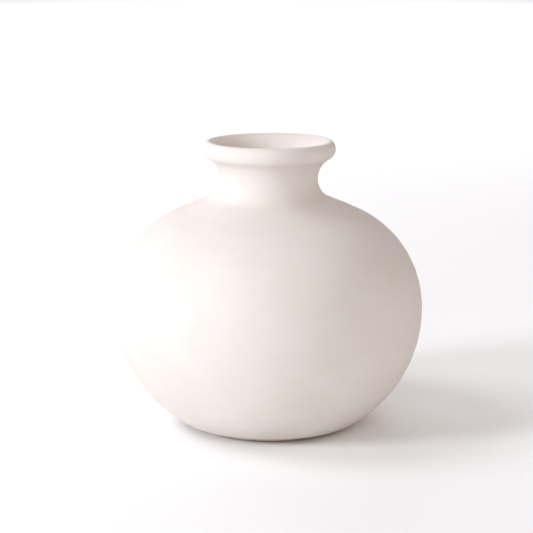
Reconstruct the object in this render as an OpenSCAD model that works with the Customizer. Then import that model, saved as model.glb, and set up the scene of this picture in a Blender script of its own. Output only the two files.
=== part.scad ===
// Round-bellied ceramic bud vase: a hollow clay body with a narrow waisted neck and a
// rolled lip, a matt glaze outside, a lining glaze inside, and soft feet under the foot ring.
// Millimetres. +Z is up, and the origin is the middle of the surface that the feet stand on.

/* [Body] */
// Widest diameter of the vase, over the glaze
belly_d = 120; // [112:1:128]
// Radius of the arc that sweeps from the foot up to the belly
lower_belly_r = 52.7; // [50:0.1:54]
// Radius of the arc that sweeps from the belly over the shoulder
shoulder_r = 40.2; // [39:0.1:42]
// How far that arc turns before the slope up to the neck, in degrees
shoulder_turn = 65; // [60:1:68]
// Radius of the slope from the shoulder up to the neck, which is nearly straight
slope_r = 200; // [120:10:300]
// Thickness of the whole wall: clay and both glazes
wall = 4.5; // [3.5:0.1:5.5]

/* [Neck and lip] */
// Outside diameter of the neck at its waist
throat_d = 38; // [36:0.5:42]
// Radius of the hollow curve around the neck
neck_r = 8.9; // [8:0.1:10]
// Widest diameter of the rolled lip
lip_d = 51.4; // [50:0.2:54]
// Radius of the roll on the outside of the lip
lip_roll_r = 4.1; // [3.4:0.1:4.4]
// Radius of the rounded edge on top of the lip
lip_edge_r = 1.7; // [1.4:0.1:2.2]
// Where the roll hands over to the edge, in degrees above level
lip_edge_angle = 38; // [30:1:45]

/* [Foot] */
// Outside diameter of the bare clay foot ring
foot_d = 65.4; // [62:0.2:70]
// Inside diameter of the foot ring
foot_hollow_d = 48; // [42:1:50]
// Depth of the hollow inside the foot ring
foot_hollow = 2; // [1:0.5:3]
// Radius of the foot ring's outer corner
foot_corner_r = 0.8; // [0.5:0.1:1.2]
// Thickness of the floor in the middle
floor_t = 5; // [4:0.5:6]
// Radius between the floor and the inside of the wall
floor_fillet_r = 8; // [6:0.5:10]

/* [Glaze] */
// Thickness of each glaze coat
glaze_t = 0.35; // [0.25:0.05:0.5]
// Height of the bare clay left between the foot and the outer glaze
bare_foot = 1.4; // [1:0.1:3]
// Where the outer glaze meets the lining, in degrees above the waist of the mouth
glaze_joint_angle = 20; // [10:1:40]

/* [Soft feet] */
// Number of soft feet
foot_count = 4; // [3:1:6]
// Diameter of a soft foot
pad_d = 6; // [5:0.5:6.5]
// Thickness of a soft foot
pad_t = 0.8; // [0.6:0.1:1.5]
// Radius of the rounded edge of a soft foot
pad_edge_r = 0.4; // [0.2:0.1:0.5]

/* [Hidden] */
$fn = 96;
// How far a straight step may leave a true arc
chord_error = 0.04;

belly_radius = belly_d / 2;
floor_z = pad_t + foot_hollow + floor_t;

// An arc of the outline is [centre radius, centre height, arc radius, from, to, side].
// The angles are those of the surface's outward normal, in degrees from level.
// Side is 1 where the clay bulges and -1 where it is hollowed.
CENTRE_R = 0;
CENTRE_Z = 1;
RADIUS = 2;
FROM = 3;
TO = 4;
SIDE = 5;

// Height between the centres of two arcs that touch, from their distance and level offset
function rise(distance, level) = sqrt(distance * distance - level * level);

// Foot corner and lower belly: both arcs touch from inside
corner_r = foot_corner_r + glaze_t;
corner_centre_r = foot_d / 2 - foot_corner_r;
corner_centre_z = pad_t + foot_corner_r;
lower_centre_r = belly_radius - lower_belly_r;
belly_z = corner_centre_z + rise(lower_belly_r - corner_r, corner_centre_r - lower_centre_r);
corner_angle = -atan2(belly_z - corner_centre_z, corner_centre_r - lower_centre_r);

// Shoulder, slope and neck: the slope holds the shoulder's arc inside it, and the neck's arc
// touches the slope from outside
shoulder_centre_r = belly_radius - shoulder_r;
slope_centre_r = shoulder_centre_r - (slope_r - shoulder_r) * cos(shoulder_turn);
slope_centre_z = belly_z - (slope_r - shoulder_r) * sin(shoulder_turn);
neck_centre_r = throat_d / 2 + neck_r;
neck_z = slope_centre_z + rise(slope_r + neck_r, neck_centre_r - slope_centre_r);
slope_angle = atan2(neck_z - slope_centre_z, neck_centre_r - slope_centre_r);

// Lip: the roll touches the neck's arc from outside, and the edge touches the roll from inside
lip_centre_r = lip_d / 2 - lip_roll_r;
lip_z = neck_z + rise(neck_r + lip_roll_r, neck_centre_r - lip_centre_r);
under_lip_angle = -atan2(lip_z - neck_z, neck_centre_r - lip_centre_r);
edge_centre_r = lip_centre_r + (lip_roll_r - lip_edge_r) * cos(lip_edge_angle);
edge_centre_z = lip_z + (lip_roll_r - lip_edge_r) * sin(lip_edge_angle);

// Mouth: its arc touches the lip's edge and stands upright at the waist
mouth_r = throat_d / 2 - wall;
edge_level = edge_centre_r - mouth_r;
edge_rise = edge_centre_z - neck_z;
flare_r = (edge_level * edge_level + edge_rise * edge_rise - lip_edge_r * lip_edge_r)
    / (2 * (edge_level - lip_edge_r));
flare_angle = atan2(edge_rise, edge_centre_r - mouth_r - flare_r);

// Inside of the belly: the outer arcs, moved in by the wall, then the fillet to the floor
inner_lower_r = lower_belly_r - wall;
fillet_centre_z = floor_z + floor_fillet_r;
fillet_level = rise(inner_lower_r - floor_fillet_r, belly_z - fillet_centre_z);
fillet_angle = 180 - atan2(belly_z - fillet_centre_z, fillet_level);

glaze_line_angle = -asin((belly_z - pad_t - bare_foot) / lower_belly_r);
joint_angle = 180 - glaze_joint_angle;

foot_corner = [corner_centre_r, corner_centre_z, corner_r, -90, corner_angle, 1];
lower_belly = [lower_centre_r, belly_z, lower_belly_r, corner_angle, 0, 1];
shoulder = [shoulder_centre_r, belly_z, shoulder_r, 0, shoulder_turn, 1];
slope = [slope_centre_r, slope_centre_z, slope_r, shoulder_turn, slope_angle, 1];
neck = [neck_centre_r, neck_z, neck_r, slope_angle, under_lip_angle, -1];
lip_roll = [lip_centre_r, lip_z, lip_roll_r, under_lip_angle, lip_edge_angle, 1];
lip_edge = [edge_centre_r, edge_centre_z, lip_edge_r, lip_edge_angle, flare_angle, 1];
mouth_flare = [mouth_r + flare_r, neck_z, flare_r, flare_angle, 180, 1];
inner_neck = [neck_centre_r, neck_z, neck_r + wall, 180, 180 + slope_angle, 1];
inner_slope = [
    slope_centre_r, slope_centre_z, slope_r - wall,
    180 + slope_angle, 180 + shoulder_turn, -1
];
inner_shoulder = [shoulder_centre_r, belly_z, shoulder_r - wall, 180 + shoulder_turn, 180, -1];
inner_belly = [lower_centre_r, belly_z, inner_lower_r, 180, fillet_angle, -1];
floor_fillet = [lower_centre_r + fillet_level, fillet_centre_z, floor_fillet_r, fillet_angle, 90, -1];

outside = [lower_belly, shoulder, slope, neck, lip_roll, lip_edge];
inside = [inner_neck, inner_slope, inner_shoulder, inner_belly, floor_fillet];

// The same arc, with another start or end
function starting(arc, angle) = [arc[CENTRE_R], arc[CENTRE_Z], arc[RADIUS], angle, arc[TO], arc[SIDE]];
function ending(arc, angle) = [arc[CENTRE_R], arc[CENTRE_Z], arc[RADIUS], arc[FROM], angle, arc[SIDE]];

function steps(arc) =
    max(3, ceil(abs(arc[TO] - arc[FROM]) / (2 * acos(1 - chord_error / arc[RADIUS]))));

// Points along one arc, moved into the clay by inset
function arc_points(arc, inset) = [
    for (i = [0:steps(arc)])
        let (
            angle = arc[FROM] + (arc[TO] - arc[FROM]) * i / steps(arc),
            reach = arc[SIDE] * arc[RADIUS] - inset
        )
        [arc[CENTRE_R] + reach * cos(angle), arc[CENTRE_Z] + reach * sin(angle)]
];

// Points along a chain of arcs that touch, without repeating the joints
function chain_points(arcs, inset) = [
    for (k = [0:len(arcs) - 1], i = [(k == 0 ? 0 : 1):steps(arcs[k])])
        arc_points(arcs[k], inset)[i]
];

function backwards(points) = [for (i = [len(points) - 1:-1:0]) points[i]];

module clay_body() {
    underside = [
        [0, floor_z - glaze_t],
        [0, pad_t + foot_hollow],
        [foot_hollow_d / 2 - foot_hollow, pad_t + foot_hollow],
        [foot_hollow_d / 2, pad_t]
    ];
    color("tan")
        rotate_extrude()
            polygon(concat(
                chain_points(concat([foot_corner], outside, [mouth_flare], inside), glaze_t),
                underside
            ));
}

module outer_glaze() {
    arcs = concat(
        [starting(lower_belly, glaze_line_angle)],
        [for (k = [1:len(outside) - 1]) outside[k]],
        [ending(mouth_flare, joint_angle)]
    );
    color("linen")
        rotate_extrude()
            polygon(concat(chain_points(arcs, 0), backwards(chain_points(arcs, glaze_t))));
}

module lining_glaze() {
    arcs = concat([starting(mouth_flare, joint_angle)], inside);
    color("seashell")
        rotate_extrude()
            polygon(concat(
                chain_points(arcs, 0),
                [[0, floor_z], [0, floor_z - glaze_t]],
                backwards(chain_points(arcs, glaze_t))
            ));
}

// One soft foot, stuck to the middle of the foot ring's flat
module soft_foot(index) {
    ring_middle = (foot_hollow_d / 2 + corner_centre_r) / 2;
    edge = [pad_d / 2 - pad_edge_r, pad_edge_r, pad_edge_r, -90, 0, 1];
    color("gainsboro")
        rotate((index - 0.5) * 360 / foot_count)
            translate([ring_middle, 0, 0])
                rotate_extrude()
                    polygon(concat([[0, 0]], arc_points(edge, 0), [[pad_d / 2, pad_t], [0, pad_t]]));
}

clay_body();
outer_glaze();
lining_glaze();
for (i = [1:foot_count])
    soft_foot(i);
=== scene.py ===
"""A matt white ceramic bud vase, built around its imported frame.

The vase is one skin of touching arcs, turned about a standing axis: foot, belly, shoulder,
neck, rolled lip, mouth, and back down the inside to the floor. The clay wall, the glaze outside
and the lining glaze are three closed shells cut from that one skin, so they fit face to face.
All lengths are metres, in the frame's own axes.
"""

import logging
import math
from collections.abc import Sequence
from dataclasses import dataclass, field
from enum import Enum, IntEnum

import bpy
import numpy as np
from numpy.typing import NDArray
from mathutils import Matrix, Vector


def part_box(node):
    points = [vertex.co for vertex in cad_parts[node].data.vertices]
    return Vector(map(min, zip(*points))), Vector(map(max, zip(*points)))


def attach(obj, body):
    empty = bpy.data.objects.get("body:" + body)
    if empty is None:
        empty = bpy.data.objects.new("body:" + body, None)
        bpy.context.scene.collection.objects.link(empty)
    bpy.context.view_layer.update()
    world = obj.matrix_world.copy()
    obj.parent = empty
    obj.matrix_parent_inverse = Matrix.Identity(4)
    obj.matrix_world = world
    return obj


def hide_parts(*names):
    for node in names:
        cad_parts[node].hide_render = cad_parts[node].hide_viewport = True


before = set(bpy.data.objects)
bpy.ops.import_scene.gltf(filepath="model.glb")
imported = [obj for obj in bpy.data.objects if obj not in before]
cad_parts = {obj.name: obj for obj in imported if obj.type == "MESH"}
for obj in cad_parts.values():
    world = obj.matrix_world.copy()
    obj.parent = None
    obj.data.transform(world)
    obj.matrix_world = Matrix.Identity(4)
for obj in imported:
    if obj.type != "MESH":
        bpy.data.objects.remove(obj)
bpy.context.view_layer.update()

Array = NDArray[np.float64]
Colour = tuple[float, float, float]

LOG = logging.getLogger("bud_vase")
MM = 0.001
FULL_TURN = 2.0 * math.pi


class Side(Enum):
    """Which way a round stretch of the skin curves."""

    BULGED = 1.0
    HOLLOWED = -1.0


class Stretch(IntEnum):
    """The skin's stretches, in order from the foot ring over the lip to the floor inside."""

    CORNER = 0
    LOWER_BELLY = 1
    SHOULDER = 2
    SLOPE = 3
    NECK = 4
    LIP_ROLL = 5
    LIP_EDGE = 6
    FLARE = 7
    INNER_NECK = 8
    INNER_SLOPE = 9
    INNER_SHOULDER = 10
    INNER_BELLY = 11
    FLOOR_FILLET = 12


class Ends(Enum):
    """How a turned grid closes: on the axis at both ends, or by meeting its own start."""

    ON_AXIS = "on_axis"
    MEETING = "meeting"


# ---------------------------------------------------------------------------------------------
# The outline
# ---------------------------------------------------------------------------------------------


@dataclass(frozen=True)
class Arc:
    """One round stretch of the outline.

    Attributes:
        centre_r: Distance of the arc's centre from the axis.
        centre_z: Height of the arc's centre.
        radius: Radius of the arc.
        start: Direction of the outward normal where the arc starts, in radians from level.
        end: Direction of the outward normal where the arc ends.
        side: Whether the skin bulges or is hollowed here.
    """

    centre_r: float
    centre_z: float
    radius: float
    start: float
    end: float
    side: Side

    @property
    def length(self) -> float:
        """Length of the arc."""
        return self.radius * abs(self.end - self.start)


class Outline:
    """A chain of touching arcs, read by the distance along it."""

    def __init__(self, arcs: Sequence[Arc]) -> None:
        """Lays the arcs end to end.

        Args:
            arcs: The arcs, each starting where the one before it ends.
        """
        self.arcs = tuple(arcs)
        self.joints = np.concatenate([[0.0], np.cumsum([arc.length for arc in self.arcs])])
        self._rows = np.array(
            [
                [a.centre_r, a.centre_z, a.side.value * a.radius, a.start, a.end, a.length]
                for a in self.arcs
            ]
        )

    def at(self, distance: Array) -> tuple[Array, Array, Array, Array]:
        """Points and normals of the skin.

        A point is its arc's centre plus the arc's radius times the normal, and the normal's
        direction goes evenly from the arc's start to its end.

        Args:
            distance: Distances along the outline, in an array of any shape.

        Returns:
            Radius, height, and the normal's outward and upward parts, each in that shape.
        """
        last = len(self.arcs) - 1
        which = np.clip(np.searchsorted(self.joints, distance, side="right") - 1, 0, last)
        centre_r, centre_z, reach, start, end, length = np.moveaxis(self._rows[which], -1, 0)
        angle = start + (end - start) * (distance - self.joints[which]) / length
        out, up = np.cos(angle), np.sin(angle)
        return centre_r + reach * out, centre_z + reach * up, out, up

    def stations(self, first: float, last: float, step: float, turn: float) -> Array:
        """Distances at which a stretch is sampled, closer together where it curves tightly.

        Args:
            first: Where the stretch starts.
            last: Where it ends.
            step: The longest step along the skin.
            turn: The largest turn between two neighbours, in radians.

        Returns:
            Distances from first to last.
        """
        parts = [np.array([first])]
        for arc, low, high in zip(self.arcs, self.joints[:-1], self.joints[1:]):
            low, high = max(low, first), min(high, last)
            if high - low < 1e-9:
                continue
            count = math.ceil(max((high - low) / step, (high - low) / arc.radius / turn))
            parts.append(np.linspace(low, high, count + 1)[1:])
        return np.concatenate(parts)


@dataclass(frozen=True)
class VaseForm:
    """Sizes of the vase, and the outline that they give.

    Attributes:
        belly_radius: Widest radius, over the glaze.
        foot_z: Height of the foot ring's underside.
        floor_z: Height of the floor inside, over the lining.
        lower_belly: Radius of the arc from foot to belly.
        shoulder: Radius of the arc from the belly over the shoulder.
        shoulder_turn: How far that arc turns before the slope up to the neck.
        slope: Radius of that slope, which is nearly straight.
        wall: Thickness of the whole wall.
        throat: Outside radius of the neck at its waist.
        neck: Radius of the hollow curve around the neck.
        lip: Widest radius of the lip.
        lip_roll: Radius of the roll on the outside of the lip.
        lip_edge: Radius of the rounded edge on top of the lip.
        lip_edge_start: Direction where the roll hands over to the edge.
        foot: Radius of the bare clay foot ring.
        foot_corner: Radius of the foot ring's outer corner.
        floor_fillet: Radius between the floor and the inside of the wall.
        glaze: Thickness of each glaze coat.
        bare_foot: Height of bare clay left below the outer glaze.
        glaze_joint: Where the glazes meet in the mouth, in radians above its waist.
    """

    belly_radius: float
    foot_z: float
    floor_z: float
    lower_belly: float = 52.7 * MM
    shoulder: float = 40.2 * MM
    shoulder_turn: float = math.radians(65.0)
    slope: float = 200.0 * MM
    wall: float = 4.5 * MM
    throat: float = 19.0 * MM
    neck: float = 8.9 * MM
    lip: float = 25.7 * MM
    lip_roll: float = 4.1 * MM
    lip_edge: float = 1.7 * MM
    lip_edge_start: float = math.radians(38.0)
    foot: float = 32.7 * MM
    foot_corner: float = 0.8 * MM
    floor_fillet: float = 8.0 * MM
    glaze: float = 0.35 * MM
    bare_foot: float = 1.4 * MM
    glaze_joint: float = math.radians(20.0)

    @classmethod
    def from_frame(cls) -> "VaseForm":
        """Takes the form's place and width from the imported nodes.

        Returns:
            The form.
        """
        outer_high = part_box("outer_glaze")[1]
        clay_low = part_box("clay_body")[0]
        lining_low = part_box("lining_glaze")[0]
        return cls(
            belly_radius=round(outer_high.x, 3),
            foot_z=clay_low.z,
            floor_z=lining_low.z + cls.glaze,
        )

    def arcs(self) -> list[Arc]:
        """The skin's arcs, from the foot ring's underside to the floor inside.

        Two arcs that touch from outside have their centres the sum of their radii apart, and
        from inside the difference, so each height follows from the two level distances.

        Returns:
            The arcs in order.
        """
        corner = self.foot_corner + self.glaze
        corner_r, corner_z = self.foot - self.foot_corner, self.foot_z + self.foot_corner
        lower_r = self.belly_radius - self.lower_belly
        belly_z = corner_z + rise(self.lower_belly - corner, corner_r - lower_r)
        corner_end = -math.atan2(belly_z - corner_z, corner_r - lower_r)

        shoulder_r, turn = self.belly_radius - self.shoulder, self.shoulder_turn
        slope_r = shoulder_r - (self.slope - self.shoulder) * math.cos(turn)
        slope_z = belly_z - (self.slope - self.shoulder) * math.sin(turn)
        neck_r = self.throat + self.neck
        neck_z = slope_z + rise(self.slope + self.neck, neck_r - slope_r)
        slope_end = math.atan2(neck_z - slope_z, neck_r - slope_r)

        roll_r = self.lip - self.lip_roll
        roll_z = neck_z + rise(self.neck + self.lip_roll, neck_r - roll_r)
        neck_end = -math.atan2(roll_z - neck_z, neck_r - roll_r)
        edge_r = roll_r + (self.lip_roll - self.lip_edge) * math.cos(self.lip_edge_start)
        edge_z = roll_z + (self.lip_roll - self.lip_edge) * math.sin(self.lip_edge_start)

        mouth_r = self.throat - self.wall
        level, height = edge_r - mouth_r, edge_z - neck_z
        flare = (level**2 + height**2 - self.lip_edge**2) / (2.0 * (level - self.lip_edge))
        flare_start = math.atan2(height, level - flare)

        inner_lower = self.lower_belly - self.wall
        fillet_z = self.floor_z + self.floor_fillet
        fillet_level = rise(inner_lower - self.floor_fillet, belly_z - fillet_z)
        fillet_start = math.pi - math.atan2(belly_z - fillet_z, fillet_level)

        half, wall = math.pi, self.wall
        bulged, hollowed = Side.BULGED, Side.HOLLOWED
        return [
            Arc(corner_r, corner_z, corner, -half / 2, corner_end, bulged),
            Arc(lower_r, belly_z, self.lower_belly, corner_end, 0.0, bulged),
            Arc(shoulder_r, belly_z, self.shoulder, 0.0, turn, bulged),
            Arc(slope_r, slope_z, self.slope, turn, slope_end, bulged),
            Arc(neck_r, neck_z, self.neck, slope_end, neck_end, hollowed),
            Arc(roll_r, roll_z, self.lip_roll, neck_end, self.lip_edge_start, bulged),
            Arc(edge_r, edge_z, self.lip_edge, self.lip_edge_start, flare_start, bulged),
            Arc(mouth_r + flare, neck_z, flare, flare_start, half, bulged),
            Arc(neck_r, neck_z, self.neck + wall, half, half + slope_end, bulged),
            Arc(slope_r, slope_z, self.slope - wall, half + slope_end, half + turn, hollowed),
            Arc(shoulder_r, belly_z, self.shoulder - wall, half + turn, half, hollowed),
            Arc(lower_r, belly_z, inner_lower, half, fillet_start, hollowed),
            Arc(lower_r + fillet_level, fillet_z, self.floor_fillet, fillet_start, half / 2, hollowed),
        ]


def rise(distance: float, level: float) -> float:
    """Height between two centres that are a distance apart and level apart sideways."""
    return math.sqrt(distance**2 - level**2)


def smooth(value: Array) -> Array:
    """Goes smoothly from 0 to 1 as value does."""
    share = np.clip(value, 0.0, 1.0)
    return share * share * (3.0 - 2.0 * share)


# ---------------------------------------------------------------------------------------------
# The hand of the potter
# ---------------------------------------------------------------------------------------------


@dataclass(frozen=True)
class HandThrown:
    """The slight unevenness that throwing leaves in a skin.

    Attributes:
        form: The vase's sizes.
        outline: The vase's outline.
        ring_pitch: Rise of the spiral that the fingers leave.
        outer_ring: Height of that spiral outside, where a rib has smoothed it.
        inner_ring: Height of that spiral inside.
        oval: How far the mouth and belly are from round, as a share of the radius.
        dent: Depth of the broad soft flats that drying and handling leave.
        fade: Length over which the spiral fades out.
        oval_height: Height over which the oval grows from the round foot.
        lean: How far the belly has settled to one side of the foot, towards -X.
        lean_height: Height over which it has settled.
        recover: How far the neck and lip come back from that.
        recover_from: Height at which they start to come back.
        recover_height: Height over which they do.
    """

    form: VaseForm
    outline: Outline
    ring_pitch: float = 7.0 * MM
    outer_ring: float = 0.035 * MM
    inner_ring: float = 0.25 * MM
    oval: float = 0.0012
    dent: float = 0.10 * MM
    fade: float = 8.0 * MM
    oval_height: float = 40.0 * MM
    lean: float = 0.95 * MM
    lean_height: float = 65.0 * MM
    recover: float = 0.60 * MM
    recover_from: float = 75.0 * MM
    recover_height: float = 35.0 * MM

    def swell(self, distance: Array, theta: Array) -> Array:
        """How far the skin stands out along its normal.

        The finger spiral is a sine of distance over pitch less the angle. It fades out at the
        foot, over the lip and at the floor. The soft flats are two slow sines of both.

        Args:
            distance: Distances along the outline.
            theta: Angles about the axis.

        Returns:
            Distances along the normal, positive outwards.
        """
        joints = self.outline.joints
        lip_start, lip_end, end = joints[Stretch.NECK], joints[Stretch.INNER_NECK], joints[-1]
        spiral = np.sin(FULL_TURN * distance / self.ring_pitch - theta)
        fade = self.fade
        outside = smooth(distance / fade) * smooth((lip_start - distance) / fade)
        inside = smooth((distance - lip_end) / fade) * smooth((end - distance) / fade)
        broad = np.sin(2.0 * theta + 35.0 * distance + 0.6) + np.sin(3.0 * theta - 50.0 * distance)
        flats = 0.5 * self.dent * broad * smooth(distance / (4.0 * fade))
        return (self.outer_ring * outside + self.inner_ring * inside) * spiral + flats

    def place(self, distance: Array, theta: Array, offset: Array) -> Array:
        """Points of the skin in the frame's axes.

        A point is the outline's point moved along its normal by offset plus swell, then turned
        to its angle, and stretched a little across X where the vase is oval.

        Args:
            distance: Distances along the outline, on a grid of rows by angles.
            theta: Angles, on the same grid.
            offset: Distance out of the skin, on the same grid.

        Returns:
            Points, rows by angles by 3.
        """
        r, z, out, up = self.outline.at(distance)
        move = offset + self.swell(distance, theta)
        return self.turn(r + move * out, z + move * up, theta)

    def turn(self, r: Array, z: Array, theta: Array) -> Array:
        """Points at a radius, height and angle, with the vase's slight oval and lean.

        The radius is stretched by a cosine of twice the angle, and the whole ring is moved
        along X: towards -X as the lean grows, and partly back again at the neck.

        Args:
            r: Radii, on a grid of rows by angles.
            z: Heights, on the same grid.
            theta: Angles, on the same grid.

        Returns:
            Points, rows by angles by 3.
        """
        above_foot = z - self.form.foot_z
        stretch = 1.0 + self.oval * smooth(above_foot / self.oval_height) * np.cos(2.0 * theta + 0.4)
        settled = smooth(above_foot / self.lean_height)
        back = smooth((z - self.recover_from) / self.recover_height)
        aside = self.recover * back - self.lean * settled
        x, y = r * stretch * np.cos(theta) + aside, r * stretch * np.sin(theta)
        return np.stack([x, y, z], axis=-1)


# ---------------------------------------------------------------------------------------------
# Meshes
# ---------------------------------------------------------------------------------------------


def angles(count: int) -> Array:
    """Evenly spaced angles round a full turn, from 0."""
    return np.arange(count) * (FULL_TURN / count)


def turned_mesh(name: str, grid: Array, ends: Ends) -> bpy.types.Object:
    """Makes a closed mesh from rows of points round the axis.

    Each cell between two rows and two neighbouring angles is a four-sided face. A grid that
    ends on the axis has its first and last row drawn together into one point each, with a
    fan of triangles round it. Row order is up the outside and down the inside, so that faces
    point out of the solid.

    Args:
        name: Name of the object and its mesh.
        grid: Points, rows by angles by 3.
        ends: How the grid closes.

    Returns:
        The new object, linked to the scene.
    """
    rows, columns = grid.shape[:2]
    here = np.arange(columns)
    beside = np.roll(here, -1)
    if ends is Ends.MEETING:
        points = grid.reshape(-1, 3)
        low = np.arange(rows)[:, None] * columns
        high = np.roll(low, -1, axis=0)
    else:
        middles = np.stack([grid[0].mean(axis=0), grid[-1].mean(axis=0)])
        points = np.concatenate([grid[1:-1].reshape(-1, 3), middles])
        low = np.arange(rows - 3)[:, None] * columns
        high = low + columns
    corners = (low + here, low + beside, high + beside, high + here)
    quads = np.stack(corners, axis=-1).reshape(-1, 4)
    fans = np.empty((0, 3), dtype=quads.dtype)
    if ends is Ends.ON_AXIS:
        first, last = len(points) - 2, len(points) - 1
        edge = (rows - 3) * columns
        start = np.stack([np.full(columns, first), beside, here], axis=-1)
        stop = np.stack([np.full(columns, last), edge + here, edge + beside], axis=-1)
        fans = np.concatenate([start, stop])

    mesh = bpy.data.meshes.new(name)
    mesh.vertices.add(len(points))
    mesh.vertices.foreach_set("co", points.astype(np.float32).ravel())
    mesh.loops.add(quads.size + fans.size)
    mesh.loops.foreach_set("vertex_index", np.concatenate([quads.ravel(), fans.ravel()]))
    mesh.polygons.add(len(quads) + len(fans))
    starts = np.concatenate([np.arange(len(quads)) * 4, quads.size + np.arange(len(fans)) * 3])
    mesh.polygons.foreach_set("loop_start", starts)
    mesh.polygons.foreach_set("use_smooth", np.ones(len(starts), dtype=bool))
    mesh.update(calc_edges=True)
    mesh.validate()
    piece = bpy.data.objects.new(name, mesh)
    bpy.context.scene.collection.objects.link(piece)
    return piece


def paint_attribute(piece: bpy.types.Object, name: str, values: Array) -> None:
    """Stores one number per vertex under a name that a material can read."""
    attribute = piece.data.attributes.new(name, "FLOAT", "POINT")
    attribute.data.foreach_set("value", values.astype(np.float32).ravel())


# ---------------------------------------------------------------------------------------------
# Finishes
# ---------------------------------------------------------------------------------------------


class Shader:
    """A material being wired, with short calls for the nodes that every finish shares."""

    def __init__(self, name: str) -> None:
        """Starts a material with only its surface shader and output.

        Args:
            name: The material's name.
        """
        self.material = bpy.data.materials.new(name)
        self.material.use_nodes = True
        self.tree = self.material.node_tree
        self.surface = self.tree.nodes["Principled BSDF"]
        self.position = self.tree.nodes.new("ShaderNodeTexCoord").outputs["Object"]

    def set(self, **values: float | Colour) -> None:
        """Sets sockets of the surface shader.

        Args:
            values: The sockets' values, each named with _ for a space.
        """
        for key, value in values.items():
            socket = self.surface.inputs[key.replace("_", " ")]
            socket.default_value = (*value, 1.0) if isinstance(value, tuple) else value

    def link(self, source: bpy.types.NodeSocket, socket: str) -> None:
        """Wires a source to a named socket of the surface shader."""
        self.tree.links.new(source, self.surface.inputs[socket])

    def noise(self, size: float, detail: float = 2.0, shift: float = 0.0) -> bpy.types.NodeSocket:
        """Cloudy noise from 0 to 1.

        Args:
            size: Rough size of one cloud.
            detail: How many finer octaves it has.
            shift: Moves the pattern, so that two of one size differ.

        Returns:
            The noise's value.
        """
        place = self.tree.nodes.new("ShaderNodeMapping")
        place.inputs["Location"].default_value = (shift, shift, shift)
        self.tree.links.new(self.position, place.inputs["Vector"])
        node = self.tree.nodes.new("ShaderNodeTexNoise")
        node.inputs["Scale"].default_value = 1.0 / size
        node.inputs["Detail"].default_value = detail
        self.tree.links.new(place.outputs["Vector"], node.inputs["Vector"])
        return node.outputs["Fac"]

    def specks(self, spacing: float, size: float) -> bpy.types.NodeSocket:
        """Small round specks, 1 at a speck's middle and 0 away from it.

        Args:
            spacing: Rough distance between specks.
            size: Radius of a speck.

        Returns:
            The specks' strength.
        """
        node = self.tree.nodes.new("ShaderNodeTexVoronoi")
        node.inputs["Scale"].default_value = 1.0 / spacing
        self.tree.links.new(self.position, node.inputs["Vector"])
        return self.ramp(node.outputs["Distance"], size / spacing, 0.0, 0.0, 1.0)

    def attribute(self, name: str) -> bpy.types.NodeSocket:
        """Reads a number stored on the piece's vertices.

        Args:
            name: Name that it is stored under.

        Returns:
            The number.
        """
        node = self.tree.nodes.new("ShaderNodeAttribute")
        node.attribute_name = name
        return node.outputs["Fac"]

    def ramp(
        self,
        value: bpy.types.NodeSocket,
        low: float,
        high: float,
        to_low: float = 0.0,
        to_high: float = 1.0,
    ) -> bpy.types.NodeSocket:
        """Carries one range smoothly to another, and clamps what lies outside.

        Args:
            value: The value to carry.
            low: Start of its range.
            high: End of its range.
            to_low: What the start becomes.
            to_high: What the end becomes.

        Returns:
            The carried value.
        """
        node = self.tree.nodes.new("ShaderNodeMapRange")
        node.interpolation_type = "SMOOTHSTEP"
        for key, number in (
            ("From Min", low),
            ("From Max", high),
            ("To Min", to_low),
            ("To Max", to_high),
        ):
            node.inputs[key].default_value = number
        self.tree.links.new(value, node.inputs["Value"])
        return node.outputs["Result"]

    def combine(
        self,
        operation: str,
        left: bpy.types.NodeSocket | float,
        right: bpy.types.NodeSocket | float,
    ) -> bpy.types.NodeSocket:
        """The result of one sum on two values.

        Args:
            operation: The sum, such as MULTIPLY.
            left: The first value.
            right: The second value.

        Returns:
            The result.
        """
        node = self.tree.nodes.new("ShaderNodeMath")
        node.operation = operation
        for index, value in enumerate((left, right)):
            if isinstance(value, float):
                node.inputs[index].default_value = value
            else:
                self.tree.links.new(value, node.inputs[index])
        return node.outputs["Value"]

    def mix(
        self,
        amount: bpy.types.NodeSocket,
        first: bpy.types.NodeSocket | Colour,
        second: bpy.types.NodeSocket | Colour,
    ) -> bpy.types.NodeSocket:
        """Blends two colours.

        Args:
            amount: 0 for the first, 1 for the second.
            first: A colour, or the socket of one.
            second: A colour, or the socket of one.

        Returns:
            The blended colour.
        """
        node = self.tree.nodes.new("ShaderNodeMix")
        node.data_type = "RGBA"
        self.tree.links.new(amount, node.inputs["Factor"])
        # Sockets 6 and 7 are the node's two colours
        for index, colour in ((6, first), (7, second)):
            if isinstance(colour, tuple):
                node.inputs[index].default_value = (*colour, 1.0)
            else:
                self.tree.links.new(colour, node.inputs[index])
        return node.outputs[2]

    def bump(
        self,
        height: bpy.types.NodeSocket,
        depth: float,
        under: bpy.types.NodeSocket | None = None,
    ) -> bpy.types.NodeSocket:
        """Raises the surface by a height from 0 to 1 times a depth.

        Args:
            height: The height map.
            depth: Depth that a height of 1 stands for.
            under: Normal of a coarser bump that this one lies on.

        Returns:
            The bumped normal.
        """
        node = self.tree.nodes.new("ShaderNodeBump")
        node.inputs["Distance"].default_value = depth
        self.tree.links.new(height, node.inputs["Height"])
        if under is not None:
            self.tree.links.new(under, node.inputs["Normal"])
        return node.outputs["Normal"]


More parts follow.
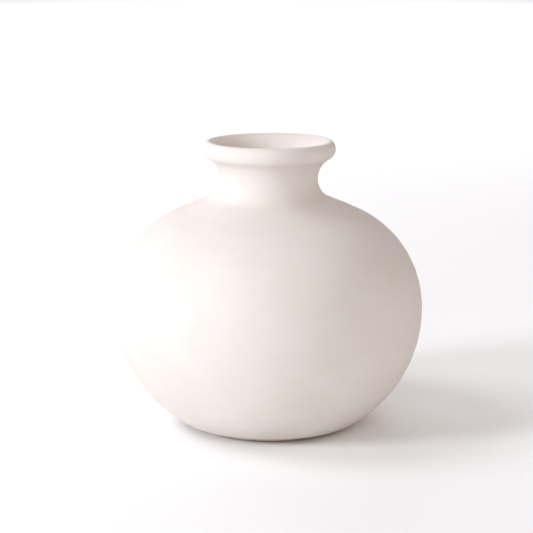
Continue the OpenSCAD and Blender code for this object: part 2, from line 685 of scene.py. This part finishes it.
@dataclass(frozen=True)
class MattGlaze:
    """Matt warm white glaze, thinner and warmer on sharp edges, with a fine eggshell grain.

    Attributes:
        white: Colour of the full coat.
        cloud: Colour of its slightly thinner clouds.
        thin: Colour where it has drawn back from an edge.
        speck: Colour of the few fine specks of clay in it.
    """

    white: Colour = (0.720, 0.664, 0.624)
    cloud: Colour = (0.702, 0.640, 0.594)
    thin: Colour = (0.64, 0.55, 0.48)
    speck: Colour = (0.56, 0.48, 0.41)

    def build(self) -> bpy.types.Material:
        """Wires the finish.

        Returns:
            The material.
        """
        shader = Shader("matt_glaze")
        clouds = shader.ramp(shader.noise(22.0 * MM, 3.0), 0.40, 0.66)
        colour = shader.mix(clouds, self.white, self.cloud)
        patches = shader.ramp(shader.noise(4.0 * MM, 2.0, 0.3), 0.45, 0.75, 0.0, 0.35)
        colour = shader.mix(patches, colour, self.cloud)
        few = shader.ramp(shader.noise(9.0 * MM, 1.0, 0.7), 0.50, 0.62)
        specks = shader.combine("MULTIPLY", shader.specks(5.0 * MM, 0.22 * MM), few)
        colour = shader.mix(shader.combine("MULTIPLY", specks, 0.5), colour, self.speck)
        ragged = shader.ramp(shader.noise(2.5 * MM, 3.0, 0.5), 0.25, 0.75, 0.6, 1.2)
        thinned = shader.combine("MULTIPLY", shader.attribute("thinning"), ragged)
        colour = shader.mix(shader.combine("MULTIPLY", thinned, 0.35), colour, self.thin)
        shader.link(colour, "Base Color")
        shader.link(shader.ramp(shader.noise(6.0 * MM, 2.0, 0.9), 0.3, 0.7, 0.60, 0.72), "Roughness")
        shader.set(Specular_IOR_Level=0.32)
        peel = shader.bump(shader.noise(2.2 * MM, 2.0, 0.2), 0.035 * MM)
        grain = shader.bump(shader.noise(0.35 * MM, 3.0, 0.4), 0.012 * MM, peel)
        shader.link(grain, "Normal")
        return shader.material


@dataclass(frozen=True)
class BareClay:
    """Unglazed fired stoneware: sandy, with fine grog in it.

    Attributes:
        buff: Colour of the clay.
        toasted: Colour where the kiln has darkened it.
        grog: Colour of the grains in it.
    """

    buff: Colour = (0.60, 0.48, 0.39)
    toasted: Colour = (0.50, 0.37, 0.29)
    grog: Colour = (0.72, 0.63, 0.54)

    def build(self) -> bpy.types.Material:
        """Wires the finish.

        Returns:
            The material.
        """
        shader = Shader("bare_clay")
        colour = shader.mix(shader.ramp(shader.noise(6.0 * MM, 4.0), 0.35, 0.7), self.buff, self.toasted)
        grains = shader.specks(0.9 * MM, 0.28 * MM)
        colour = shader.mix(shader.combine("MULTIPLY", grains, 0.7), colour, self.grog)
        shader.link(colour, "Base Color")
        shader.link(shader.ramp(shader.noise(1.5 * MM, 2.0, 0.3), 0.3, 0.7, 0.82, 0.95), "Roughness")
        shader.set(Specular_IOR_Level=0.2)
        sand = shader.bump(shader.noise(0.5 * MM, 4.0, 0.6), 0.06 * MM)
        shader.link(shader.bump(grains, 0.03 * MM, sand), "Normal")
        return shader.material


@dataclass(frozen=True)
class LiningGlaze:
    """Satin lining glaze, smooth enough to hold water, with soft clouds where it has run together.

    Attributes:
        milk: Colour of the coat.
        pooled: Colour where it has run together.
    """

    milk: Colour = (0.69, 0.615, 0.565)
    pooled: Colour = (0.63, 0.575, 0.53)

    def build(self) -> bpy.types.Material:
        """Wires the finish.

        Returns:
            The material.
        """
        shader = Shader("lining_glaze")
        clouds = shader.ramp(shader.noise(12.0 * MM, 3.0), 0.35, 0.7)
        shader.link(shader.mix(clouds, self.milk, self.pooled), "Base Color")
        shader.link(shader.ramp(shader.noise(8.0 * MM, 2.0, 0.4), 0.3, 0.7, 0.24, 0.36), "Roughness")
        shader.set(Specular_IOR_Level=0.5)
        shader.link(shader.bump(shader.noise(3.0 * MM, 1.0, 0.2), 0.02 * MM), "Normal")
        return shader.material


@dataclass(frozen=True)
class SoftRubber:
    """Frosted soft rubber with a little dust pressed into it.

    Attributes:
        frost: Colour of the rubber.
        dust: Colour of the dust.
    """

    frost: Colour = (0.55, 0.54, 0.52)
    dust: Colour = (0.42, 0.40, 0.37)

    def build(self) -> bpy.types.Material:
        """Wires the finish.

        Returns:
            The material.
        """
        shader = Shader("soft_rubber")
        dusty = shader.ramp(shader.noise(1.2 * MM, 4.0), 0.5, 0.72)
        shader.link(shader.mix(dusty, self.frost, self.dust), "Base Color")
        shader.link(shader.ramp(dusty, 0.0, 1.0, 0.42, 0.7), "Roughness")
        shader.link(shader.bump(shader.noise(0.3 * MM, 2.0, 0.5), 0.01 * MM), "Normal")
        return shader.material


# ---------------------------------------------------------------------------------------------
# The pieces
# ---------------------------------------------------------------------------------------------


def finish_piece(
    piece: bpy.types.Object, node: str, material: bpy.types.Material
) -> bpy.types.Object:
    """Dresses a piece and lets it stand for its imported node.

    Args:
        piece: The piece.
        node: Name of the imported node.
        material: The finish.

    Returns:
        The piece.
    """
    piece.data.materials.append(material)
    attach(piece, "root")
    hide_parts(node)
    LOG.info("%s: %d faces, stands for %s", piece.name, len(piece.data.polygons), node)
    return piece


@dataclass
class VaseBody:
    """The thrown clay wall and the two glazes on it.

    Attributes:
        form: The vase's sizes.
        columns: Angles round the axis.
        step: Longest step along the visible skin.
        hidden_step: Longest step along skin that lies under a glaze.
        turn: Largest turn between two rows.
        hollow_radius: Inside radius of the foot ring.
        hollow_depth: Depth of the hollow inside the foot ring.
        trim_pitch: Distance between the trimming tool's rings under the foot.
        trim_depth: Height of those rings.
        edge_width: Width over which a glaze rounds off to its edge.
        edge_bead: Extra thickness just behind a glaze's edge.
        edge_wander: How far a glaze's edge wanders up and down.
    """

    form: VaseForm
    columns: int = 192
    step: float = 0.75 * MM
    hidden_step: float = 2.0 * MM
    turn: float = math.radians(6.0)
    hollow_radius: float = 24.0 * MM
    hollow_depth: float = 2.0 * MM
    trim_pitch: float = 1.6 * MM
    trim_depth: float = 0.06 * MM
    edge_width: float = 0.6 * MM
    edge_bead: float = 0.06 * MM
    edge_wander: float = 0.22 * MM
    outline: Outline = field(init=False)
    hand: HandThrown = field(init=False)
    theta: Array = field(init=False)

    def __post_init__(self) -> None:
        """Works out the outline, and where each glaze starts and stops."""
        self.outline = Outline(self.form.arcs())
        self.hand = HandThrown(self.form, self.outline)
        self.theta = angles(self.columns)[None, :]
        joints, arcs = self.outline.joints, self.outline.arcs
        lower, flare = arcs[Stretch.LOWER_BELLY], arcs[Stretch.FLARE]
        line_z = self.form.foot_z + self.form.bare_foot
        line_angle = -math.asin((lower.centre_z - line_z) / lower.radius)
        self.foot_line = joints[Stretch.LOWER_BELLY] + lower.radius * (line_angle - lower.start)
        joint_angle = math.pi - self.form.glaze_joint
        flare_joint = joints[Stretch.FLARE]
        self.glaze_joint = flare_joint + flare.radius * (joint_angle - flare.start)
        self.lip_crest = 0.5 * (joints[Stretch.LIP_EDGE] + flare_joint)

    def wandering(self, place: float, phase: float) -> Array:
        """A glaze edge's distance along the outline at every angle, as a sum of slow sines.

        Args:
            place: The edge's distance before it wanders.
            phase: Where the sines start.

        Returns:
            Distances, one for each angle.
        """
        waves = (
            np.sin(3.0 * self.theta + phase)
            + 0.6 * np.sin(7.0 * self.theta + 2.0 * phase)
            + 0.3 * np.sin(17.0 * self.theta + 3.0 * phase)
        )
        return place + 0.5 * self.edge_wander * waves

    def coat(self, from_edge: Array) -> Array:
        """Thickness of a glaze by the distance from its edge.

        It rises as a quarter round over the edge's width, and has a low bead just behind it.

        Args:
            from_edge: Distance from the edge, on any grid.

        Returns:
            Thickness on the same grid.
        """
        near = np.clip(1.0 - from_edge / self.edge_width, 0.0, 1.0)
        bead = np.exp(-(((from_edge - 1.5 * self.edge_width) / self.edge_width) ** 2))
        return (self.form.glaze + self.edge_bead * bead) * np.sqrt(1.0 - near**2)

    def skin(self, distance: Array, offset: Array | float) -> Array:
        """Points of the skin at distances along the outline.

        Args:
            distance: Distances, one for each row or on a grid of rows by angles.
            offset: How far the points stand out of the skin.

        Returns:
            Points, rows by angles by 3.
        """
        distance = np.broadcast_to(distance, (distance.shape[0], self.columns))
        theta = np.broadcast_to(self.theta, distance.shape)
        return self.hand.place(distance, theta, np.broadcast_to(offset, distance.shape))

    def flat_rows(self, r: Array, z: Array) -> Array:
        """Level rings of points.

        Args:
            r: Radius of each ring.
            z: Height of each ring.

        Returns:
            Points, rows by angles by 3.
        """
        shape = (len(r), self.columns)
        theta = np.broadcast_to(self.theta, shape)
        r, z = np.broadcast_to(r[:, None], shape), np.broadcast_to(z[:, None], shape)
        return self.hand.turn(r, z, theta)

    def underside(self) -> Array:
        """The turned underside, from its middle to the foot ring's flat.

        The hollow's height falls from its depth to nothing across its sloping wall, and low
        round rings from the trimming tool lie over it. A small button is left in the middle.

        Returns:
            Rows of points.
        """
        ring_edge = self.outline.arcs[Stretch.CORNER].centre_r
        r = np.concatenate(
            [
                np.linspace(0.0, self.hollow_radius - 3.0 * MM, 52),
                np.linspace(self.hollow_radius - 3.0 * MM, self.hollow_radius + 1.0 * MM, 17)[1:],
                np.linspace(self.hollow_radius + 1.0 * MM, ring_edge, 26)[1:],
            ]
        )
        hollow = 1.0 - smooth((r - self.hollow_radius + 2.4 * MM) / (2.8 * MM))
        rings = 0.5 + 0.5 * np.cos(FULL_TURN * r / self.trim_pitch)
        worn = 1.0 - 0.75 * smooth((r - self.hollow_radius) / (1.0 * MM))
        button = 0.5 * MM * np.exp(-((r / (2.2 * MM)) ** 2))
        on_ring = smooth((ring_edge - r) / (0.8 * MM))
        z = self.form.foot_z + self.hollow_depth * hollow + self.trim_depth * rings * worn * on_ring
        return self.flat_rows(r, z - button)

    def clay_wall(self) -> bpy.types.Object:
        """The clay: underside, outside, lip, inside and floor, one coat below the glazes.

        Returns:
            The clay's object.
        """
        outline, form = self.outline, self.form
        end = outline.joints[-1]
        bare = outline.stations(0.0, self.foot_line + 1.0 * MM, 0.15 * MM, self.turn)
        under_glaze = outline.stations(self.foot_line + 1.0 * MM, end, self.hidden_step, 2 * self.turn)
        distance = np.concatenate([bare, under_glaze[1:]])[:, None]
        skin = self.skin(distance, -form.glaze)
        floor_r = np.linspace(outline.arcs[-1].centre_r, 0.0, 12)[1:]
        floor = self.flat_rows(floor_r, np.full(floor_r.shape, form.floor_z - form.glaze))
        grid = np.concatenate([self.underside(), skin[1:], floor])
        return turned_mesh("clay_wall", grid, Ends.ON_AXIS)

    def outer_coat(self) -> bpy.types.Object:
        """The matt glaze, from just above the foot, over the lip, to the joint in the mouth.

        Returns:
            The glaze's object.
        """
        start = self.wandering(self.foot_line, 0.8)
        stop = self.wandering(self.glaze_joint, 2.1)
        rows = self.outline.stations(self.foot_line, self.glaze_joint, self.step, self.turn)
        share = (rows - rows[0]) / (rows[-1] - rows[0])
        share = np.unique(np.concatenate([share, edge_shares(self.edge_width, rows[-1] - rows[0])]))
        outer = start + share[:, None] * (stop - start)
        coat = self.coat(np.minimum(outer - start, stop - outer))
        hidden = self.outline.stations(self.foot_line, self.glaze_joint, self.hidden_step, 2 * self.turn)
        hidden_share = (hidden - hidden[0]) / (hidden[-1] - hidden[0])
        inner = start + hidden_share[-2:0:-1, None] * (stop - start)
        grid = np.concatenate(
            [
                self.skin(outer, coat - self.form.glaze),
                self.skin(inner, -self.form.glaze),
            ]
        )
        piece = turned_mesh("outer_glaze_coat", grid, Ends.MEETING)
        distance = np.concatenate([outer, inner])
        crest = np.exp(-(((distance - self.lip_crest) / (2.0 * MM)) ** 2))
        foot_edge = np.exp(-(((distance - start) / (0.9 * MM)) ** 2))
        mouth_edge = np.exp(-(((distance - stop) / (0.9 * MM)) ** 2))
        paint_attribute(piece, "thinning", 0.5 * crest + foot_edge + mouth_edge)
        return piece

    def lining(self) -> bpy.types.Object:
        """The lining glaze, from the joint in the mouth down to the floor.

        Returns:
            The glaze's object.
        """
        form, end = self.form, self.outline.joints[-1]
        start = self.wandering(self.glaze_joint, 2.1)
        rows = self.outline.stations(self.glaze_joint, end, self.step, self.turn)
        share = (rows - rows[0]) / (end - rows[0])
        share = np.unique(np.concatenate([share, edge_shares(self.edge_width, end - rows[0])]))
        inside = start + share[:, None] * (end - start)
        coat = self.coat(inside - start)
        hidden = self.outline.stations(self.glaze_joint, end, self.hidden_step, 2 * self.turn)
        hidden_share = (hidden - hidden[0]) / (end - hidden[0])
        behind = start + hidden_share[:0:-1, None] * (end - start)
        floor_r = np.linspace(self.outline.arcs[-1].centre_r, 0.0, 24)[1:]
        floor = self.flat_rows(floor_r, np.full(floor_r.shape, form.floor_z))
        below = self.flat_rows(floor_r[::-1], np.full(floor_r.shape, form.floor_z - form.glaze))
        grid = np.concatenate(
            [
                below,
                self.skin(behind, -form.glaze),
                self.skin(inside, coat - form.glaze),
                floor,
            ]
        )
        return turned_mesh("lining_glaze_coat", grid, Ends.ON_AXIS)

    def build(self) -> list[bpy.types.Object]:
        """Makes and dresses the three shells.

        Returns:
            The shells' objects.
        """
        return [
            finish_piece(self.clay_wall(), "clay_body", BareClay().build()),
            finish_piece(self.outer_coat(), "outer_glaze", MattGlaze().build()),
            finish_piece(self.lining(), "lining_glaze", LiningGlaze().build()),
        ]


def edge_shares(width: float, length: float) -> Array:
    """Extra stations packed towards both ends of a stretch, where a glaze rounds off.

    They are spaced as the cosine of even angles, so that the quarter round is even too.

    Args:
        width: Width of the rounded edge.
        length: Length of the whole stretch.

    Returns:
        Shares of the length, from 0 to 1.
    """
    near = width / length * (1.0 - np.cos(np.linspace(0.0, math.pi / 2.0, 7)))
    return np.concatenate([near, 1.0 - near])


@dataclass
class SoftFeet:
    """The soft pads under the foot ring.

    Attributes:
        nodes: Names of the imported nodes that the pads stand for.
        edge: Radius of a pad's lower edge.
        crown: How far a pad bulges out at half its height.
        columns: Angles round a pad.
    """

    nodes: Sequence[str]
    edge: float = 0.4 * MM
    crown: float = 0.05 * MM
    columns: int = 64

    def pad(self, node: str) -> bpy.types.Object:
        """One pad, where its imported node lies.

        Its outline goes from the middle of the flat underside round the lower edge, up the
        slightly bulged wall, round a small upper edge and in to the middle of the top.

        Args:
            node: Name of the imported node.

        Returns:
            The pad's object.
        """
        low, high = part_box(node)
        middle = np.array([(low.x + high.x) / 2.0, (low.y + high.y) / 2.0, 0.0])
        radius, top = (high.x - low.x) / 2.0, high.z
        bend = np.linspace(0.0, math.pi / 2.0, 9)
        flat = np.linspace(0.0, radius - self.edge, 8)
        wall = np.linspace(self.edge, top - self.edge / 4.0, 8)[1:-1]
        bulge = self.crown * np.sin(math.pi * (wall - self.edge) / (top - self.edge))
        small = self.edge / 4.0
        r = np.concatenate(
            [
                flat,
                radius - self.edge + self.edge * np.sin(bend[1:]),
                radius + bulge,
                radius - small + small * np.cos(bend[1:]),
                flat[::-1],
            ]
        )
        z = np.concatenate(
            [
                np.full(flat.shape, low.z),
                low.z + self.edge * (1.0 - np.cos(bend[1:])),
                wall,
                top - small + small * np.sin(bend[1:]),
                np.full(flat.shape, top),
            ]
        )
        theta = angles(self.columns)
        grid = np.stack(
            [
                r[:, None] * np.cos(theta),
                r[:, None] * np.sin(theta),
                np.broadcast_to(z[:, None], (len(z), self.columns)),
            ],
            axis=-1,
        )
        piece = turned_mesh(f"pad_{node}", grid, Ends.ON_AXIS)
        piece.data.transform(matrix_to(middle))
        return piece

    def build(self) -> list[bpy.types.Object]:
        """Makes and dresses every pad."""
        rubber = SoftRubber().build()
        return [finish_piece(self.pad(node), node, rubber) for node in self.nodes]


def matrix_to(place: Array) -> Matrix:
    """The matrix that carries the origin to a place."""
    return Matrix.Translation(place.tolist())


# ---------------------------------------------------------------------------------------------
# The studio
# ---------------------------------------------------------------------------------------------


@dataclass(frozen=True)
class SoftLamp:
    """A round soft lamp, placed by its direction from the point that it lights.

    Attributes:
        name: The lamp's name.
        azimuth: Direction that it stands in, in degrees from +X towards +Y.
        elevation: Height above the horizon, in degrees.
        distance: Distance from the point that it lights.
        size: Diameter of the lamp.
        power: Power in watts.
        colour: Colour of its light.
        aim: The point that it lights.
    """

    name: str
    azimuth: float
    elevation: float
    distance: float
    size: float
    power: float
    colour: Colour = (0.90, 0.94, 1.0)
    aim: tuple[float, float, float] = (0.0, 0.0, 0.055)

    def build(self) -> bpy.types.Object:
        """Hangs the lamp.

        Returns:
            The lamp's object.
        """
        data = bpy.data.lights.new(self.name, "AREA")
        data.shape = "DISK"
        data.size = self.size
        data.energy, data.color = self.power, self.colour
        lamp = bpy.data.objects.new(self.name, data)
        around, above = math.radians(self.azimuth), math.radians(self.elevation)
        level = self.distance * math.cos(above)
        aim = Vector(self.aim)
        lamp.location = aim + Vector(
            (level * math.cos(around), level * math.sin(around), self.distance * math.sin(above))
        )
        lamp.rotation_euler = (aim - lamp.location).to_track_quat("-Z", "Y").to_euler()
        lamp.visible_camera = False
        bpy.context.scene.collection.objects.link(lamp)
        return lamp


@dataclass(frozen=True)
class Studio:
    """A pale seamless floor in soft light that comes mostly from the left and the front.

    The lamps are a little cool and the surround is warm, so that shade is warmer than light.

    Attributes:
        floor_radius: Radius of the floor.
        floor_tone: Colour of the floor.
        surround: Colour of the surround's light.
        surround_power: Strength of the surround's light.
        lamps: The lamps.
    """

    floor_radius: float = 12.0
    floor_tone: Colour = (0.95, 0.95, 0.95)
    surround: Colour = (1.0, 0.91, 0.88)
    surround_power: float = 0.44
    lamps: tuple[SoftLamp, ...] = (
        SoftLamp("key_lamp", azimuth=207.0, elevation=19.0, distance=1.5, size=0.45, power=14.0),
        SoftLamp("side_lamp", azimuth=180.0, elevation=50.0, distance=1.5, size=0.75, power=7.1),
        SoftLamp("front_lamp", azimuth=262.0, elevation=13.0, distance=1.5, size=0.75, power=5.4),
        SoftLamp("back_lamp", azimuth=120.0, elevation=28.0, distance=1.5, size=0.75, power=2.8),
        SoftLamp(
            "warm_bounce",
            azimuth=0.0,
            elevation=28.0,
            distance=1.5,
            size=0.75,
            power=2.7,
            colour=(1.0, 0.95, 0.80),
        ),
        SoftLamp(
            "background_lamp",
            azimuth=270.0,
            elevation=72.0,
            distance=1.26,
            size=1.2,
            power=31.0,
            aim=(0.0, 2.4, 0.0),
        ),
    )

    def floor(self) -> bpy.types.Object:
        """A round flat floor, with a slightly uneven sheen.

        Returns:
            The floor's object.
        """
        rings = np.concatenate([np.linspace(0.0, 1.0, 9), [3.0, self.floor_radius]])
        theta = angles(96)
        r = np.repeat(rings[:, None], len(theta), axis=1)
        thick = 10.0 * MM
        rows = np.stack([r * np.cos(theta), r * np.sin(theta), np.zeros_like(r)], axis=-1)
        under = rows[::-1].copy()
        under[..., 2] = -thick
        floor = turned_mesh("studio_floor", np.concatenate([under[::-1], rows[::-1]]), Ends.ON_AXIS)
        shader = Shader("studio_paper")
        grey = tuple(0.985 * tone for tone in self.floor_tone)
        cloudy = shader.ramp(shader.noise(0.4, 2.0), 0.35, 0.65)
        shader.link(shader.mix(cloudy, self.floor_tone, grey), "Base Color")
        shader.link(shader.ramp(cloudy, 0.0, 1.0, 0.86, 0.92), "Roughness")
        shader.set(Specular_IOR_Level=0.15)
        floor.data.materials.append(shader.material)
        return floor

    def build(self) -> None:
        """Sets up floor, surround and lamps."""
        self.floor()
        world = bpy.data.worlds.new("studio_surround")
        world.use_nodes = True
        background = world.node_tree.nodes["Background"]
        background.inputs["Color"].default_value = (*self.surround, 1.0)
        background.inputs["Strength"].default_value = self.surround_power
        scene = bpy.context.scene
        scene.world = world
        scene.view_settings.view_transform = "Standard"
        for lamp in self.lamps:
            lamp.build()
        LOG.info("studio: floor, surround and %d lamp(s)", len(self.lamps))


@dataclass(frozen=True)
class StudioCamera:
    """A long lens that looks down on the vase from a little left of its axis.

    Attributes:
        side: How far the camera stands to the left of the axis.
        distance: How far in front of the axis it stands.
        height: Its height above the floor.
        pitch: How far it looks down, in degrees.
        lens: Focal length, in the camera's own millimetres.
    """

    side: float = 1.42 * MM
    distance: float = 660.0 * MM
    height: float = 198.7 * MM
    pitch: float = 11.72
    lens: float = 116.57

    def build(self) -> bpy.types.Object:
        """Places the camera and makes it the scene's own.

        Returns:
            The camera.
        """
        data = bpy.data.cameras.new("studio_camera")
        data.lens = self.lens
        data.sensor_width = 36.0
        camera = bpy.data.objects.new("studio_camera", data)
        camera.location = (-self.side, -self.distance, self.height)
        camera.rotation_euler = (math.radians(90.0 - self.pitch), 0.0, 0.0)
        bpy.context.scene.collection.objects.link(camera)
        bpy.context.scene.camera = camera
        LOG.info("camera: %.0f mm lens, %.0f mm away", data.lens, self.distance / MM)
        return camera


def main() -> None:
    """Builds the vase, its feet and the studio, in that order."""
    logging.basicConfig(level=logging.INFO, format="%(name)s %(message)s")
    StudioCamera().build()
    VaseBody(VaseForm.from_frame()).build()
    SoftFeet(sorted(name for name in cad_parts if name.startswith("soft_foot"))).build()
    Studio().build()


if __name__ == "__main__":
    main()
